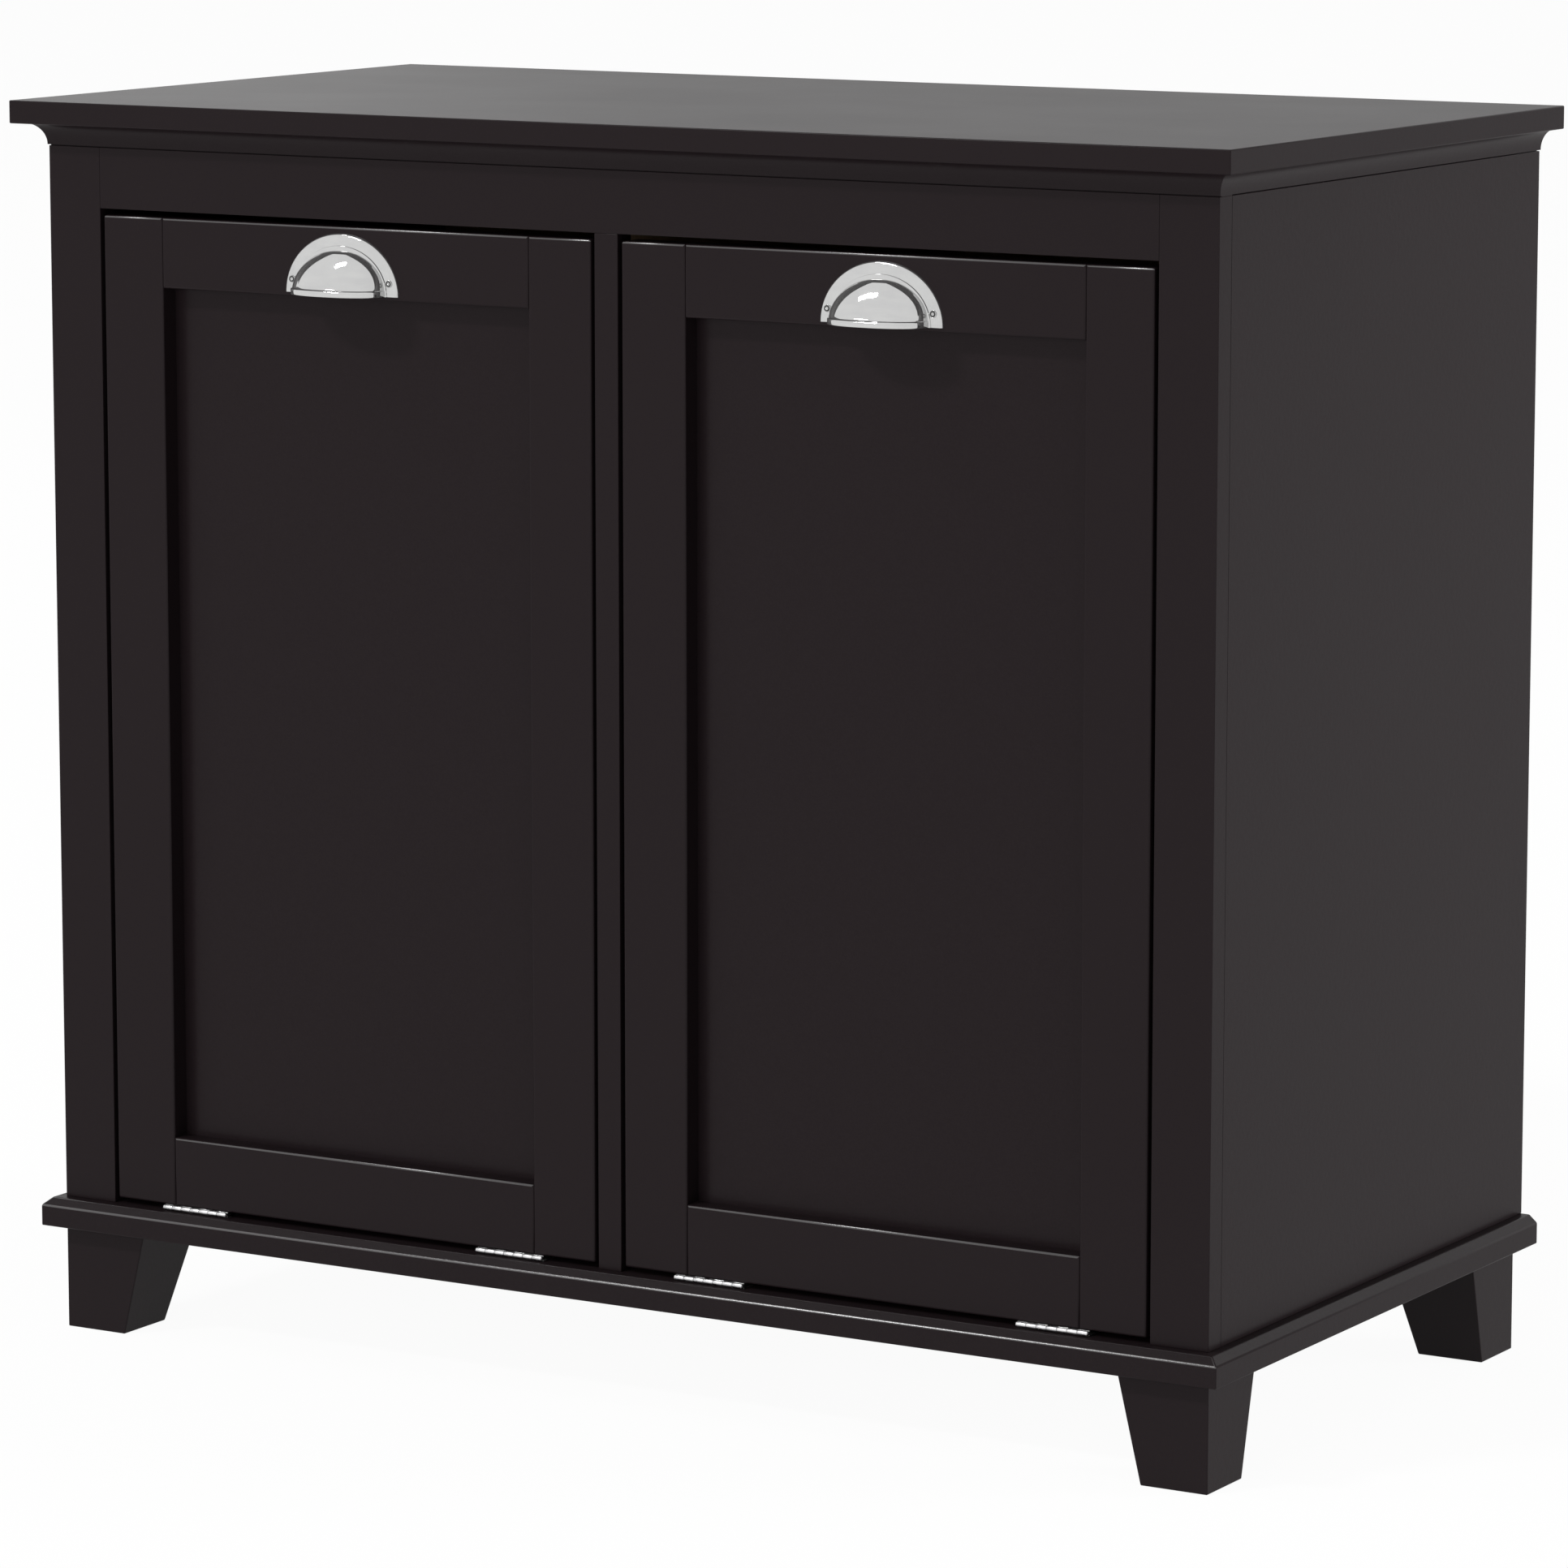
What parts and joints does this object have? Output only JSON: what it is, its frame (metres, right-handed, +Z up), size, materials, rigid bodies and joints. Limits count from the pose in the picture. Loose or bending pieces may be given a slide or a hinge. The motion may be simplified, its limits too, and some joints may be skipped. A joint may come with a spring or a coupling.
{
  "type": "tilt-out laundry cabinet",
  "caption": "Low cabinet with side-by-side bottom-hinged tilt-out doors, each with a cup pull in front and a cloth hamper bag behind, on short tapered legs.",
  "frame": {"origin": "on the floor, at the middle of the whole cabinet's outline", "axes": "+X to the right seen from the front, the doors face -Y, +Z up"},
  "size_m": [0.89, 0.473, 0.818],
  "materials": {
    "charcoal_paint": "painted satin",
    "bare_wood": "clear matt",
    "polished_nickel": "polished",
    "bright_steel": "zinc plated",
    "catch_plastic": "moulded",
    "bag_canvas": "plain weave"
  },
  "bodies": {
    "cabinet": {"top_board": "charcoal_paint", "cove_front": "charcoal_paint", "cove_left": "charcoal_paint", "cove_right": "charcoal_paint", "frame_stile_left": "charcoal_paint", "frame_stile_right": "charcoal_paint", "frame_top_rail": "charcoal_paint", "frame_centre_stile": "charcoal_paint", "side_panel_left": "charcoal_paint", "side_panel_right": "charcoal_paint", "back_panel": "bare_wood", "centre_divider": "bare_wood", "back_rails": "bare_wood", "base_board": "charcoal_paint", "leg_front_left": "charcoal_paint", "leg_front_right": "charcoal_paint", "leg_back_left": "charcoal_paint", "leg_back_right": "charcoal_paint", "leg_bolts": "bright_steel", "carcass_dowels": "bare_wood", "magnetic_catches": "catch_plastic", "hinge_base_leaves": "bright_steel", "hinge_pins": "bright_steel", "hinge_base_screws": "bright_steel"},
    "left_door": {"left_door_inner_stile": "charcoal_paint", "left_door_outer_stile": "charcoal_paint", "left_door_top_rail": "charcoal_paint", "left_door_bottom_rail": "charcoal_paint", "left_door_panel": "charcoal_paint", "left_cup_pull": "polished_nickel", "left_pull_screws": "polished_nickel", "left_hinge_door_leaves": "bright_steel", "left_hinge_door_screws": "bright_steel", "left_strike_plate": "bright_steel", "left_carrier_inner_arm": "bare_wood", "left_carrier_outer_arm": "bare_wood", "left_carrier_front_bar": "bare_wood", "left_carrier_rear_bar": "bare_wood", "left_carrier_screws": "bright_steel", "left_arm_brackets": "bright_steel", "left_bracket_screws": "bright_steel", "left_laundry_bag": "bag_canvas"},
    "right_door": {"right_door_inner_stile": "charcoal_paint", "right_door_outer_stile": "charcoal_paint", "right_door_top_rail": "charcoal_paint", "right_door_bottom_rail": "charcoal_paint", "right_door_panel": "charcoal_paint", "right_cup_pull": "polished_nickel", "right_pull_screws": "polished_nickel", "right_hinge_door_leaves": "bright_steel", "right_hinge_door_screws": "bright_steel", "right_strike_plate": "bright_steel", "right_carrier_inner_arm": "bare_wood", "right_carrier_outer_arm": "bare_wood", "right_carrier_front_bar": "bare_wood", "right_carrier_rear_bar": "bare_wood", "right_carrier_screws": "bright_steel", "right_arm_brackets": "bright_steel", "right_bracket_screws": "bright_steel", "right_laundry_bag": "bag_canvas"}
  },
  "joints": [
    {"name": "left_door_tilt", "type": "hinge", "parent": "cabinet", "child": "left_door", "pos_m": [-0.19815, -0.2134, 0.09105], "axis": [1, 0, 0], "range_deg": [0, 32]},
    {"name": "right_door_tilt", "type": "hinge", "parent": "cabinet", "child": "right_door", "pos_m": [0.19815, -0.2134, 0.09105], "axis": [1, 0, 0], "range_deg": [0, 32]}
  ]
}
